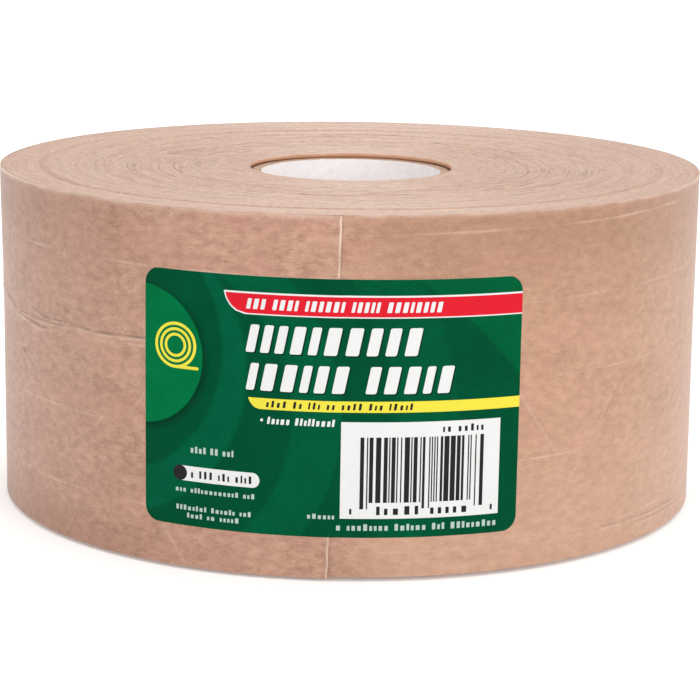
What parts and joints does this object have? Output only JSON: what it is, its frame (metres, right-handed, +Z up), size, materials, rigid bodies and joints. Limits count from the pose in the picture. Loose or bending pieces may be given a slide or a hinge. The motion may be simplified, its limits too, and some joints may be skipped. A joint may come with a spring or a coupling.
{
  "type": "roll of reinforced gummed paper packing tape",
  "caption": "Roll of wide reinforced kraft paper packing tape on a white-lined paperboard core; a green label holds down its free end, and both peel off.",
  "frame": {"origin": "on the roll's axis, at the bottom of the turns that it rests on", "axes": "+Z up along the roll's axis, which is the axis of the core; -Y out through the front, where the label is; +X to the right seen from the front"},
  "size_m": [0.1486, 0.1487, 0.0709],
  "materials": {
    "kraft_paper": "matt natural kraft",
    "gummed_paper": "slightly glossy dried gum on kraft",
    "core_liner_paper": "smooth white paper",
    "core_board": "matt grey-brown chipboard",
    "reinforcing_yarn": "glass-fibre yarn set in hot melt",
    "label_paper": "printed label paper with a slight sheen"
  },
  "bodies": {
    "roll": {"core_liner": "core_liner_paper", "core_ply_1": "core_board", "core_ply_2": "core_board", "core_ply_3": "core_board", "core_ply_4": "core_board", "first_turn": "kraft_paper", "wound_turns_1": "kraft_paper", "wound_turns_2": "kraft_paper", "wound_turns_3": "kraft_paper", "wound_turns_4": "kraft_paper", "last_turn": "kraft_paper"},
    "tape_end": {"end_face_paper": "kraft_paper", "end_yarn_scrim": "reinforcing_yarn", "end_back_paper": "gummed_paper", "label_held": "label_paper"},
    "label_tail": {"label_tail": "label_paper"}
  },
  "joints": [
    {"name": "tape_end_peel", "type": "hinge", "parent": "roll", "child": "tape_end", "pos_m": [-0.0431, -0.06059, 0.0359], "axis": [0, 0, -1], "range_deg": [0, 90]},
    {"name": "label_peel", "type": "hinge", "parent": "tape_end", "child": "label_tail", "pos_m": [-0.0025, -0.07444, 0.0359], "axis": [0, 0, -1], "range_deg": [0, 120]}
  ]
}
